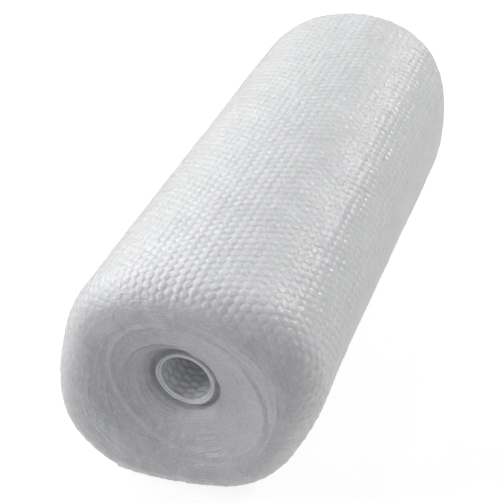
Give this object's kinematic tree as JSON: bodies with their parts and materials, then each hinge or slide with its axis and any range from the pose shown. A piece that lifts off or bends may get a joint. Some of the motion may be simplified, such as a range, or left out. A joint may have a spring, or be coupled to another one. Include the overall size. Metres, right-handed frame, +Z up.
{
  "type": "bubble wrap roll",
  "caption": "Loose roll of clear small-bubble film with dished ends and an open middle, lying on its side, for wrapping and cushioning goods.",
  "frame": {"origin": "on the floor under the middle of the roll's box", "axes": "+Z up, +Y along the roll from the near end to the far end, +X to the right seen from the near end"},
  "size_m": [0.3368, 0.75, 0.3308],
  "materials": {
    "bubble_film": "clear polyethylene film, milky white in many turns, with a soft sheen"
  },
  "bodies": {
    "root": {"bubble_wrap_roll": "bubble_film"}
  },
  "joints": []
}
